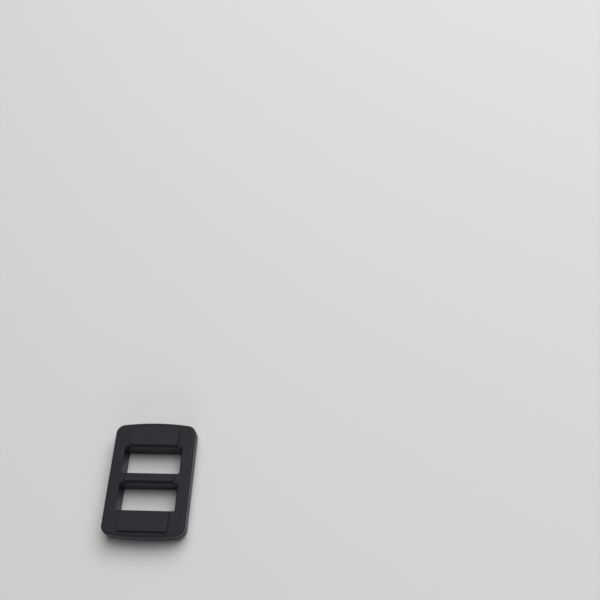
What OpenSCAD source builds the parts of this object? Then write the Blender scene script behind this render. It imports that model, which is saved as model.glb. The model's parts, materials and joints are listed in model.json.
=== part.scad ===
// Slider for narrow webbing: a flat moulded frame with a strap slot on either side of a cross bar.
// It lies flat on its underside: X across the strap, Y along the strap, Z up out of the gripping face.
// The moulding is divided into rails, bars and pads, which meet face to face.

/* [Frame] */
// Width over both rails, across the strap
overall_w = 14.2; // [13.6:0.1:16]
// Length over both bowed ends, along the strap
overall_l = 20.0; // [19.4:0.1:24]
// Thickness of the frame without its pads
frame_t = 3.6; // [2.8:0.1:4]
// Radius of the corners, seen from above
corner_r = 1.6; // [1.5:0.1:2]
// How far the middle of each end stands out beyond the line of its corners
end_bow = 0.6; // [0.3:0.05:0.8]
// Rounding of the rim on the gripping face
top_round = 0.4; // [0.3:0.05:0.7]
// Rounding of the rim on the underside
bottom_round = 1.4; // [0.5:0.05:1.45]

/* [Strap slots] */
// Width of the webbing, and of each slot
strap_w = 10.0; // [9.4:0.1:10.4]
// Opening of each slot, along the strap
slot_gap = 4.6; // [4.2:0.1:4.9]
// Width of the cross bar, along the strap
centre_bar_l = 1.8; // [1.6:0.1:2.6]
// Rounding of the bar edges that the strap runs over
strap_round = 0.25; // [0.1:0.05:0.4]
// Fillet in the corners of each slot
slot_fillet = 0.25; // [0.2:0.05:0.6]

/* [Grip pads] */
// Width of each pad, across the strap
pad_w = 8.6; // [7:0.1:9.2]
// Height of each pad above the frame
pad_h = 0.4; // [0.2:0.05:0.6]
// Ledge between a pad and the slot beside it
pad_ledge = 0.25; // [0.25:0.05:0.4]
// Ledge between an end pad and the middle of the bowed end
pad_end_ledge = 0.9; // [0.85:0.05:1.2]
// Corner radius of each pad, seen from above
pad_corner = 0.35; // [0.1:0.05:0.5]

/* [Hidden] */
$fn = 96;

plastic = [0.13, 0.13, 0.14];
pad_plastic = [0.17, 0.17, 0.18];

half_w = overall_w / 2;
half_l = overall_l / 2;
half_strap = strap_w / 2;
slot_near = centre_bar_l / 2;
slot_far = slot_near + slot_gap;

// Each bowed end is one arc, with its centre on the long middle line
bow_r = (half_w * half_w + end_bow * end_bow) / (2 * end_bow);
bow_y = half_l - bow_r;
// A wide arc needs more steps than a small one
bow_fn = 360;

// Each corner arc touches the bowed end and the straight side
corner_x = half_w - corner_r;
bow_half_angle = asin(corner_x / (bow_r - corner_r));
corner_y = bow_y + (bow_r - corner_r) * cos(bow_half_angle);
// From the bowed end in to where the rail's straight part has taken over
bow_depth = bow_r - corner_y + bow_y + corner_r;

end_pad_y = slot_far + pad_ledge;
end_pad_l = half_l - pad_end_ledge - end_pad_y;
centre_pad_l = centre_bar_l - 2 * pad_ledge;

// The strip of an end bar beside its slot that has the rounded edges
strap_edge_l = 2 * strap_round;
// Larger than the frame every way, for cutting at a plane
reach = 2 * overall_l;

// The rounding of an edge: the quarter of a disc above and to the right of the origin
module quarter_disc(r) {
  intersection() {
    circle(r);
    square(r);
  }
}

// Cross-section of the frame from x = inner to the rim at x = outer, standing on y = 0
module rim_section(inner, outer) {
  translate([inner, bottom_round])
    square([outer - top_round - inner, frame_t - bottom_round]);
  translate([inner, 0])
    square([outer - bottom_round - inner, frame_t - top_round]);
  translate([inner, bottom_round])
    square([outer - inner, frame_t - top_round - bottom_round]);
  translate([outer - top_round, frame_t - top_round])
    quarter_disc(top_round);
  translate([outer - bottom_round, bottom_round])
    mirror([0, 1])
      quarter_disc(bottom_round);
}

// The straight part of the rail at +X
module straight_rim() {
  rotate([90, 0, 0])
    linear_extrude(2 * corner_y, center = true)
      rim_section(half_strap, half_w);
}

// The round corner at +X, +Y
module corner_rim() {
  translate([corner_x, corner_y, 0])
    rotate_extrude(angle = 90 - bow_half_angle)
      rim_section(0, corner_r);
}

// The bowed end at +Y, between its corners
module end_rim() {
  translate([0, bow_y, 0])
    rotate([0, 0, 90 - bow_half_angle])
      rotate_extrude(angle = 2 * bow_half_angle, $fn = bow_fn)
        rim_section(bow_r - bow_depth, bow_r);
}

// The disc whose rim is the bowed end at +Y
module end_disc() {
  translate([0, bow_y, 0])
    rotate_extrude($fn = bow_fn)
      rim_section(0, bow_r);
}

// The long side of the frame at +X, with its corners
module rail() {
  straight_rim();
  for (end = [0, 1])
    mirror([0, end, 0]) {
      corner_rim();
      intersection() {
        end_rim();
        translate([half_strap, 0, -reach / 2])
          cube(reach);
      }
    }
}

// Cross-section of a bar from x = 0 to its length, with one or both edges rounded
module bar_section(length, round_both) {
  plain_l = length - strap_round * (round_both ? 2 : 1);
  translate([strap_round, 0])
    square([plain_l, frame_t]);
  translate([0, strap_round])
    square([length, frame_t - 2 * strap_round]);
  for (z = [strap_round, frame_t - strap_round]) {
    translate([strap_round, z])
      circle(strap_round);
    if (round_both)
      translate([length - strap_round, z])
        circle(strap_round);
  }
}

// A bar from rail to rail, from the y of its first edge
module bar_block(y, length, round_both) {
  translate([-half_strap, y, 0])
    rotate([90, 0, 90])
      linear_extrude(strap_w)
        bar_section(length, round_both);
}

// Fillets in both corners that a bar's edge makes with the rails; the slot lies towards -Y
module slot_fillets(y) {
  for (side = [0, 1])
    mirror([side, 0, 0])
      translate([half_strap - slot_fillet, y - slot_fillet, strap_round])
        difference() {
          cube([slot_fillet, slot_fillet + strap_round, frame_t - 2 * strap_round]);
          translate([0, 0, -strap_round])
            cylinder(frame_t, r = slot_fillet);
        }
}

// The wide bar at +Y
module end_bar() {
  intersection() {
    end_disc();
    translate([-half_strap, slot_far + strap_edge_l, -reach / 2])
      cube([strap_w, reach, reach]);
  }
  bar_block(slot_far, strap_edge_l, false);
  slot_fillets(slot_far);
}

// A raised pad on the frame's face, from the y of its first edge
module pad(y, length) {
  translate([-pad_w / 2, y, frame_t])
    linear_extrude(pad_h) {
      translate([pad_corner, 0])
        square([pad_w - 2 * pad_corner, length]);
      translate([0, pad_corner])
        square([pad_w, length - 2 * pad_corner]);
      for (x = [pad_corner, pad_w - pad_corner])
        for (corner_at = [pad_corner, length - pad_corner])
          translate([x, corner_at])
            circle(pad_corner);
    }
}

module right_rail() {
  color(plastic)
    rail();
}

module left_rail() {
  color(plastic)
    mirror([1, 0, 0])
      rail();
}

module rear_bar() {
  color(plastic)
    end_bar();
}

module front_bar() {
  color(plastic)
    mirror([0, 1, 0])
      end_bar();
}

module centre_bar() {
  color(plastic) {
    bar_block(-slot_near, centre_bar_l, true);
    for (end = [0, 1])
      mirror([0, end, 0])
        slot_fillets(-slot_near);
  }
}

module rear_pad() {
  color(pad_plastic)
    pad(end_pad_y, end_pad_l);
}

module front_pad() {
  color(pad_plastic)
    mirror([0, 1, 0])
      pad(end_pad_y, end_pad_l);
}

module centre_pad() {
  color(pad_plastic)
    pad(-centre_pad_l / 2, centre_pad_l);
}

left_rail();
right_rail();
front_bar();
centre_bar();
rear_bar();
front_pad();
centre_pad();
rear_pad();
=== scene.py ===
import json
import math

import bpy
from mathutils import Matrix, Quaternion, Vector

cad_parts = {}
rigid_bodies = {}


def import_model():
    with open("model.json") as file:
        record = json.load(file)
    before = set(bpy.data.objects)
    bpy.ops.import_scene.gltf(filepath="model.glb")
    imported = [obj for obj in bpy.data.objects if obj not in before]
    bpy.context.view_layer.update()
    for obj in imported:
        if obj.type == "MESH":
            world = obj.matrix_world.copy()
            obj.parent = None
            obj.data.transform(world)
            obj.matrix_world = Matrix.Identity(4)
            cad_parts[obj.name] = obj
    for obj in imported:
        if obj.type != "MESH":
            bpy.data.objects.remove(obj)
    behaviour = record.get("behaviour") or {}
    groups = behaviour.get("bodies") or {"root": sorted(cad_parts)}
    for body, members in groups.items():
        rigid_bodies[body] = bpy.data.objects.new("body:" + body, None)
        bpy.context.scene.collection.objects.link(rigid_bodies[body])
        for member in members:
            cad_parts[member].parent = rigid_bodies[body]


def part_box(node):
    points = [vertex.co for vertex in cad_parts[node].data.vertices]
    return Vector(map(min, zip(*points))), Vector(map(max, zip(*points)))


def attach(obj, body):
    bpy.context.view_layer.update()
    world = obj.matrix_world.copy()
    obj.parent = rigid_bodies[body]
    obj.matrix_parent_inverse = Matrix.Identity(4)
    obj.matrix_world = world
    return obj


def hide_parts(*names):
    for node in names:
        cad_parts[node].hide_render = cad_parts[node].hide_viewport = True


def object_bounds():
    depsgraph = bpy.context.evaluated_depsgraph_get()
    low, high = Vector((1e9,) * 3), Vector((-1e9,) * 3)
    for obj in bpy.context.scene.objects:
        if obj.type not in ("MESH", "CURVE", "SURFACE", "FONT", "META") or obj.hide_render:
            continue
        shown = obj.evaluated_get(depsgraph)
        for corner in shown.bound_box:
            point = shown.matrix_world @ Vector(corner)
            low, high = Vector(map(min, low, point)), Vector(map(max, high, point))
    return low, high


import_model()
cad_low, cad_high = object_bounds()

# Moulded frame
# The frame of the slider is one injection moulding of black plastic, with two strap slots through
# it. Its skin is swept round the rim and round each slot, in millimetres, and its two faces are
# then filled. The rails and the bars are cut from it further down.
MM = 0.001
rail_low, rail_high = (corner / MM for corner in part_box("right_rail"))
half_strap = rail_low.x
half_w = rail_high.x
frame_t = rail_high.z
half_l = cad_high.y / MM
corner_r = 1.6
end_bow = 0.6
top_round = 0.4
bottom_round = 1.4
slot_fillet = 0.25
slot_round = 0.25
slot_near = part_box("centre_bar")[1].y / MM - slot_fillet
slot_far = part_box("rear_bar")[0].y / MM + slot_fillet

# Each bowed end is one arc, and each corner arc touches it and the straight side
bow_r = (half_w ** 2 + end_bow ** 2) / (2 * end_bow)
bow_y = half_l - bow_r
corner_x = half_w - corner_r
bow_half_angle = math.degrees(math.asin(corner_x / (bow_r - corner_r)))
corner_y = bow_y + (bow_r - corner_r) * math.cos(math.radians(bow_half_angle))

# A hairline ridge runs round the middle of the rim, where the two halves of the mould met
flash_h = 0.02
flash_w = 0.04
wall_x = half_w - flash_h
wall_top = frame_t - top_round
flash_z = (bottom_round + wall_top) / 2

# Steps along each arc
bow_steps = 32
corner_steps = 20
top_round_steps = 8
bottom_round_steps = 16
fillet_steps = 10
slot_round_steps = 6
# Closer than this, in millimetres, two points of a mesh are one
weld = 0.0005
# Faces whose directions differ by less than this, in degrees, are one flat face
flat_within = 0.05


def set_down(point):
    """Starts a new line in the open mesh: a plane, merged to one vertex at a point."""
    bpy.ops.mesh.select_all(action="DESELECT")
    bpy.ops.mesh.primitive_plane_add(size=1)
    bpy.ops.mesh.merge(type="CENTER")
    bpy.ops.transform.translate(value=point)


def go(step):
    """Extrudes what is selected by a step."""
    bpy.ops.mesh.extrude_region_move(TRANSFORM_OT_translate={"value": step})


def turn(centre, degrees, steps, axis=(0, 0, 1)):
    """Spins what is selected round a centre, as a right hand's fingers curl round the axis."""
    bpy.ops.mesh.spin(steps=steps, angle=-math.radians(degrees), center=centre, axis=axis)


def new_mesh(name):
    """An empty mesh object at the origin, open in edit mode."""
    bpy.ops.object.select_all(action="DESELECT")
    bpy.ops.mesh.primitive_plane_add(size=1, enter_editmode=True)
    bpy.ops.mesh.delete(type="VERT")
    bpy.context.object.name = name
    return bpy.context.object


def select_vertices(piece, wanted):
    """Selects the vertices of an open mesh whose place passes a test, and the edges between."""
    bpy.ops.mesh.select_all(action="DESELECT")
    bpy.ops.object.mode_set(mode="OBJECT")
    for vertex in piece.data.vertices:
        vertex.select = wanted(vertex.co)
    bpy.ops.object.mode_set(mode="EDIT")


blank = new_mesh("moulded_blank")
bpy.ops.mesh.select_mode(type="VERT")

# The rim's section, from the edge of the gripping face down to the edge of the underside
set_down((wall_x - top_round, 0, frame_t))
turn((wall_x - top_round, 0, wall_top), 90, top_round_steps, axis=(0, 1, 0))
go((0, 0, flash_z + flash_w / 2 + flash_h - wall_top))
go((flash_h, 0, -flash_h))
go((0, 0, -flash_w))
go((-flash_h, 0, -flash_h))
go((0, 0, bottom_round - flash_z + flash_w / 2 + flash_h))
turn((wall_x - bottom_round, 0, bottom_round), 90, bottom_round_steps, axis=(0, 1, 0))
bpy.ops.mesh.select_linked()

# Round the frame in two halves, each from the middle of a rail, round a bowed end, to the other
for end in (1, -1):
    go((0, end * corner_y, 0))
    turn((end * corner_x, end * corner_y, 0), 90 - bow_half_angle, corner_steps)
    turn((0, end * bow_y, 0), 2 * bow_half_angle, bow_steps)
    turn((-end * corner_x, end * corner_y, 0), 90 - bow_half_angle, corner_steps)
    go((0, -end * corner_y, 0))

# Each slot's wall, with the edges that the strap runs over, swept round the slot
fillet_x = half_strap - slot_fillet
slot_straight = slot_far - slot_near - 2 * slot_fillet
for first_y in (slot_near, -slot_far):
    low_fillet_y = first_y + slot_fillet
    high_fillet_y = low_fillet_y + slot_straight
    round_y = first_y - slot_round
    set_down((0, round_y, frame_t))
    turn((0, round_y, frame_t - slot_round), 90, slot_round_steps, axis=(-1, 0, 0))
    go((0, 0, 2 * slot_round - frame_t))
    turn((0, round_y, slot_round), 90, slot_round_steps, axis=(-1, 0, 0))
    bpy.ops.mesh.select_linked()
    go((fillet_x, 0, 0))
    turn((fillet_x, low_fillet_y, 0), 90, fillet_steps)
    go((0, slot_straight, 0))
    turn((fillet_x, high_fillet_y, 0), 90, fillet_steps)
    go((-2 * fillet_x, 0, 0))
    turn((-fillet_x, high_fillet_y, 0), 90, fillet_steps)
    go((0, -slot_straight, 0))
    turn((-fillet_x, low_fillet_y, 0), 90, fillet_steps)
    go((fillet_x, 0, 0))

# Ejector pins left four shallow discs in the underside
pin_r = 0.6
pin_steps = 40
pin_depth = 0.04
pin_x = 3.1
pin_y = (slot_far + slot_round + half_l - bottom_round) / 2
for x in (-pin_x, pin_x):
    for y in (-pin_y, pin_y):
        bpy.ops.mesh.select_all(action="DESELECT")
        bpy.ops.mesh.primitive_circle_add(vertices=pin_steps, radius=pin_r, location=(x, y, 0))
        go((0, 0, pin_depth))
        bpy.ops.mesh.edge_face_add()

bpy.ops.mesh.select_all(action="SELECT")
bpy.ops.mesh.remove_doubles(threshold=weld)
for face_z in (frame_t, 0):
    select_vertices(blank, lambda place: abs(place.z - face_z) < weld)
    bpy.ops.mesh.fill(use_beauty=True)
    bpy.ops.mesh.dissolve_limited(angle_limit=math.radians(flat_within))
bpy.ops.mesh.select_all(action="SELECT")
bpy.ops.mesh.normals_make_consistent(inside=False)
bpy.ops.object.mode_set(mode="OBJECT")


# The finish of the whole moulding: black plastic from a spark-eroded mould. Its faces have a fine
# even grain, its walls were drawn along the steel and are smoother, and its edges are a little
# polished.
class Wire:
    """One output of a material's nodes, which takes part in plain expressions."""

    def __init__(self, tree, socket):
        self.tree = tree
        self.socket = socket

    def node(self, kind, settings, sockets, output=0):
        """Adds a node of any type, with its settings, then its sockets' values or links."""
        made = self.tree.nodes.new(kind)
        for name, value in settings.items():
            setattr(made, name, value)
        for name, value in sockets.items():
            if isinstance(value, Wire):
                self.tree.links.new(value.socket, made.inputs[name])
            else:
                made.inputs[name].default_value = value
        return Wire(self.tree, made.outputs[output])

    def maths(self, operation, first, second):
        """Adds a Math node on two values or outputs."""
        return self.node("ShaderNodeMath", {"operation": operation}, {0: first, 1: second})

    def __add__(self, other):
        return self.maths("ADD", self, other)

    __radd__ = __add__

    def __sub__(self, other):
        return self.maths("SUBTRACT", self, other)

    def __rsub__(self, other):
        return self.maths("SUBTRACT", other, self)

    def __mul__(self, other):
        return self.maths("MULTIPLY", self, other)

    __rmul__ = __mul__


# Widths of the clouds in the plastic, of its grain and of the pits in the grain, in millimetres
cloud_w = 2.4
grain_w = 0.10
pit_w = 0.13
# The grain's depth, in millimetres, its strength, and how much of it is not pits
grain_depth = 0.045
grain_strength = 0.8
grain_share = 0.6
# How much of the grain the walls lost when the moulding was drawn
wall_loss = 0.6
# How far the clouds, the grain and the polish lighten the plastic, less an even drop
cloud_tint = 0.6
grain_tint = 0.35
polish_tint = 0.3
tint_drop = 0.2
# How much smoother the walls and the polish are, and how far the clouds and the grain vary it
wall_gloss = 0.24
polish_gloss = 0.14
cloud_haze = 0.16
grain_haze = 0.10
noise_mean = 0.5
# A Mix node's colour sockets share their names with others, so they go by number
MIX_A, MIX_B, MIX_RESULT = 6, 7, 2


def satin_plastic(name, deep, light, roughness):
    """Black plastic with a moulded grain, between a deep and a light shade."""
    material = bpy.data.materials.new(name)
    material.use_nodes = True
    tree = material.node_tree
    shader = tree.nodes["Principled BSDF"]
    shader.inputs["Specular IOR Level"].default_value = 0.2
    plastic = Wire(tree, shader.outputs[0])
    place = plastic.node("ShaderNodeTexCoord", {}, {}, "Object")
    facing = plastic.node("ShaderNodeTexCoord", {}, {}, "Normal")
    facing_z = plastic.node("ShaderNodeSeparateXYZ", {}, {0: facing}, "Z")

    # Each is 1 where it holds: faces that lie level, walls, and the edges half way between
    level = facing_z * facing_z
    wall = 1 - level
    edge = 4 * level * wall

    cloud = plastic.node(
        "ShaderNodeTexNoise", {},
        {"Vector": place, "Scale": 1 / (cloud_w * MM), "Detail": 3.0, "Roughness": 0.55},
        "Fac")
    grain = plastic.node(
        "ShaderNodeTexNoise", {},
        {"Vector": place, "Scale": 1 / (grain_w * MM), "Detail": 3.0, "Roughness": 0.6},
        "Fac")
    pits = plastic.node(
        "ShaderNodeTexVoronoi", {"feature": "SMOOTH_F1"},
        {"Vector": place, "Scale": 1 / (pit_w * MM), "Smoothness": 0.6},
        "Distance")
    polish = edge * cloud

    lightness = cloud_tint * cloud + grain_tint * grain + polish_tint * polish - tint_drop
    shade = plastic.node(
        "ShaderNodeMix", {"data_type": "RGBA"},
        {"Factor": lightness, MIX_A: deep, MIX_B: light}, MIX_RESULT)
    tree.links.new(shade.socket, shader.inputs["Base Color"])

    haze = cloud_haze * (cloud - noise_mean) + grain_haze * (grain - noise_mean)
    local_roughness = roughness - wall_gloss * wall + haze - polish_gloss * polish
    tree.links.new(local_roughness.socket, shader.inputs["Roughness"])

    grain_height = (grain_share * grain + (1 - grain_share) * pits) * (1 - wall_loss * wall)
    bump = plastic.node(
        "ShaderNodeBump", {},
        {"Strength": grain_strength, "Distance": grain_depth * MM, "Height": grain_height},
        "Normal")
    tree.links.new(bump.socket, shader.inputs["Normal"])
    return material


frame_plastic = satin_plastic(
    "frame_black_plastic",
    deep=(0.0076, 0.0080, 0.0124, 1), light=(0.0120, 0.0126, 0.0186, 1), roughness=0.58)

# Side rails
# The long sides of the frame, with its rounded corners. Each is the part of the moulding beyond
# the ends of the bars, cut off a hair inside the side walls of the slots, which stay whole on it.
seam_inset = 0.005
seam_x = half_strap - seam_inset
smooth_angle = math.radians(32)


def copy_of(piece, name):
    """A copy of a piece with its own mesh, open in edit mode with everything selected."""
    bpy.ops.object.select_all(action="DESELECT")
    piece.select_set(True)
    bpy.context.view_layer.objects.active = piece
    bpy.ops.object.duplicate()
    bpy.context.object.name = name
    bpy.ops.object.mode_set(mode="EDIT")
    bpy.ops.mesh.select_all(action="SELECT")
    return bpy.context.object


def keep_beyond(point, direction):
    """Cuts the open mesh at a plane, keeps what lies beyond it and closes the cut."""
    bpy.ops.mesh.select_all(action="SELECT")
    bpy.ops.mesh.bisect(
        plane_co=point, plane_no=direction, use_fill=True, clear_inner=True, threshold=weld / 10)


def finish_piece(piece, material, node):
    """Smooths a piece, brings it to metres and hands it over in place of its node."""
    bpy.ops.object.select_all(action="DESELECT")
    piece.select_set(True)
    bpy.context.view_layer.objects.active = piece
    bpy.ops.object.shade_smooth_by_angle(angle=smooth_angle)
    even = piece.modifiers.new("even_faces", "WEIGHTED_NORMAL")
    even.keep_sharp = True
    bpy.ops.object.modifier_apply(modifier=even.name)
    bpy.ops.object.mode_set(mode="EDIT")
    bpy.ops.mesh.select_all(action="SELECT")
    bpy.ops.transform.resize(value=(MM, MM, MM), center_override=(0, 0, 0))
    bpy.ops.object.mode_set(mode="OBJECT")
    piece.data.materials.clear()
    piece.data.materials.append(material)
    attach(piece, "root")
    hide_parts(node)


for side, rail_name, rail_node in (
    (-1, "left_side_rail", "left_rail"),
    (1, "right_side_rail", "right_rail"),
):
    rail = copy_of(blank, rail_name)
    keep_beyond((side * seam_x, 0, 0), (side, 0, 0))
    bpy.ops.object.mode_set(mode="OBJECT")
    finish_piece(rail, frame_plastic, rail_node)

# Bars
# The strap's fixed end goes round the narrow cross bar, and its free end runs under the wide end
# bars. They span the rails in the same moulding, and the corners of the slots are filleted into
# them. Each is cut free in the middle of the slots beside it.
slot_middle = (slot_near + slot_far) / 2
for bar_name, bar_node, cuts in (
    ("front_end_bar", "front_bar", ((-slot_middle, -1),)),
    ("centre_cross_bar", "centre_bar", ((-slot_middle, 1), (slot_middle, -1))),
    ("rear_end_bar", "rear_bar", ((slot_middle, 1),)),
):
    bar = copy_of(blank, bar_name)
    keep_beyond((-seam_x, 0, 0), (1, 0, 0))
    keep_beyond((seam_x, 0, 0), (-1, 0, 0))
    for cut_y, towards in cuts:
        keep_beyond((0, cut_y, 0), (0, towards, 0))
    bpy.ops.object.mode_set(mode="OBJECT")
    finish_piece(bar, frame_plastic, bar_node)
bpy.data.objects.remove(blank)

# Grip pads
# Raised flat pads on the gripping face of the end bars, and a narrower one along the cross bar.
# They are moulded with the frame, with rounded corners, a slight draft and a sharp foot.
pad_corner = 0.35
pad_corner_steps = 8
pad_edge = 0.12
pad_edge_steps = 5
pad_draft = 0.04
pad_plastic = satin_plastic(
    "pad_black_plastic",
    deep=(0.0102, 0.0106, 0.0150, 1), light=(0.0158, 0.0164, 0.0226, 1), roughness=0.60)
for pad_name, pad_node in (
    ("front_grip_pad", "front_pad"),
    ("centre_grip_rib", "centre_pad"),
    ("rear_grip_pad", "rear_pad"),
):
    pad_low, pad_high = (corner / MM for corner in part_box(pad_node))
    pad_size = pad_high - pad_low
    pad_middle = (pad_low + pad_high) / 2
    bpy.ops.object.select_all(action="DESELECT")
    bpy.ops.mesh.primitive_cube_add(size=1, enter_editmode=True)
    pad = bpy.context.object
    pad.name = pad_name
    bpy.ops.transform.resize(value=pad_size, center_override=(0, 0, 0))
    bpy.ops.transform.translate(value=pad_middle)

    # The four upright edges are the corners
    bpy.ops.mesh.select_mode(type="EDGE")
    bpy.ops.mesh.select_all(action="DESELECT")
    bpy.ops.object.mode_set(mode="OBJECT")
    for edge in pad.data.edges:
        ends = [pad.data.vertices[index].co for index in edge.vertices]
        edge.select = abs(ends[0].z - ends[1].z) > pad_size.z / 2
    bpy.ops.object.mode_set(mode="EDIT")
    bpy.ops.mesh.bevel(offset=pad_corner, segments=pad_corner_steps, affect="EDGES")

    # The top is drawn in for the draft, and its edge is rounded
    bpy.ops.mesh.select_mode(type="VERT")
    select_vertices(pad, lambda place: place.z > pad_middle.z)
    bpy.ops.transform.resize(
        value=(1 - 2 * pad_draft / pad_size.x, 1 - 2 * pad_draft / pad_size.y, 1),
        center_override=pad_middle)
    bpy.ops.mesh.select_mode(type="EDGE")
    bpy.ops.mesh.region_to_loop()
    bpy.ops.mesh.bevel(offset=pad_edge, segments=pad_edge_steps, affect="EDGES")
    bpy.ops.mesh.select_mode(type="VERT")
    bpy.ops.object.mode_set(mode="OBJECT")
    finish_piece(pad, pad_plastic, pad_node)

# Floor
# A plain pale floor that the slider lies on. Far from the slider it fades into the room. So that
# the underside shows, it is see-through from below, and it lets the room's light up to the plastic
# that lies close on it.
floor_half = 0.42
fade_start = 0.16
floor_gap = 0.00002
lit_reach = 0.0003
floor_colour = (0.72, 0.72, 0.715, 1)
bpy.ops.object.select_all(action="DESELECT")
bpy.ops.mesh.primitive_plane_add(size=2 * floor_half, location=(0, 0, 0), enter_editmode=True)
bpy.ops.transform.translate(value=(0, 0, -floor_gap))
bpy.ops.object.mode_set(mode="OBJECT")
floor = bpy.context.object
floor.name = "pale_floor"
floor_material = bpy.data.materials.new("pale_floor")
floor_material.use_nodes = True
floor_tree = floor_material.node_tree
floor_shader = floor_tree.nodes["Principled BSDF"]
floor_shader.inputs["Base Color"].default_value = floor_colour
floor_shader.inputs["Roughness"].default_value = 0.9
floor_shader.inputs["Specular IOR Level"].default_value = 0.1
floor_lit = Wire(floor_tree, floor_shader.outputs[0])
floor_place = floor_lit.node("ShaderNodeTexCoord", {}, {}, "Object")
from_middle = floor_lit.node(
    "ShaderNodeVectorMath", {"operation": "LENGTH"}, {0: floor_place}, "Value")
faded = floor_lit.node(
    "ShaderNodeMapRange", {"interpolation_type": "SMOOTHSTEP"},
    {"Value": from_middle, "From Min": fade_start, "From Max": floor_half})
from_below = floor_lit.node("ShaderNodeNewGeometry", {}, {}, "Backfacing")
ray_length = floor_lit.node("ShaderNodeLightPath", {}, {}, "Ray Length")
close_above = floor_lit.node(
    "ShaderNodeMapRange", {"interpolation_type": "SMOOTHSTEP"},
    {"Value": ray_length, "From Min": lit_reach, "From Max": 0.0})
gone = floor_lit.maths("MAXIMUM", floor_lit.maths("MAXIMUM", faded, from_below), close_above)
see_through = floor_lit.node("ShaderNodeBsdfTransparent", {}, {})
floor_mix = floor_lit.node("ShaderNodeMixShader", {}, {0: gone, 1: floor_lit, 2: see_through})
floor_tree.links.new(floor_mix.socket, floor_tree.nodes["Material Output"].inputs["Surface"])
floor.data.materials.append(floor_material)

# Light
# An even room that gives little light and looks pale, also where the plastic reflects it, with
# one large soft lamp behind the rear end and a weak, low one before the front.
room_light = 0.07
room_shown = 0.66
world = bpy.data.worlds.new("pale_room")
world.use_nodes = True
room = world.node_tree.nodes["Background"]
room.inputs["Color"].default_value = (1, 1, 1, 1)
room_glow = Wire(world.node_tree, room.outputs[0])
seen, mirrored, seen_through = (
    room_glow.node("ShaderNodeLightPath", {}, {}, kind)
    for kind in ("Is Camera Ray", "Is Glossy Ray", "Is Transmission Ray"))
shown = room_glow.maths("MAXIMUM", room_glow.maths("MAXIMUM", seen, mirrored), seen_through)
room_strength = room_light + (room_shown - room_light) * shown
world.node_tree.links.new(room_strength.socket, room.inputs["Strength"])
bpy.context.scene.world = world


def soft_lamp(name, place, size, power):
    """A square lamp aimed at the middle of the slider."""
    light = bpy.data.lights.new(name, "AREA")
    light.shape = "SQUARE"
    light.size = size
    light.energy = power
    lamp = bpy.data.objects.new(name, light)
    lamp.visible_camera = False
    lamp.location = place
    lamp.rotation_mode = "QUATERNION"
    lamp.rotation_quaternion = (-Vector(place)).to_track_quat("-Z", "Y")
    bpy.context.scene.collection.objects.link(lamp)


soft_lamp("rear_lamp", place=(0.155, 0.268, 0.508), size=0.62, power=4.2)
soft_lamp("front_lamp", place=(0.085, -0.41, 0.14), size=0.25, power=0.34)

# Camera
# It looks down on the slider from before its front end and a little to its right, and aims past
# it, so that the slider lies at the lower left of the picture.
camera_place = Vector((37.15, -42.25, 135.7)) * MM
camera_aim = Vector((23.74, 37.2, 0.0)) * MM
camera_roll = math.radians(-8.1)
camera_data = bpy.data.cameras.new("camera")
camera_data.sensor_width = 36
camera_data.lens = 48.8
camera_data.clip_start = 0.005
camera_data.clip_end = 10
camera = bpy.data.objects.new("camera", camera_data)
camera.location = camera_place
camera.rotation_mode = "QUATERNION"
camera.rotation_quaternion = (
    (camera_aim - camera_place).to_track_quat("-Z", "Y") @ Quaternion((0, 0, 1), camera_roll))
bpy.context.scene.collection.objects.link(camera)
bpy.context.scene.camera = camera
bpy.context.scene.view_settings.view_transform = "Standard"
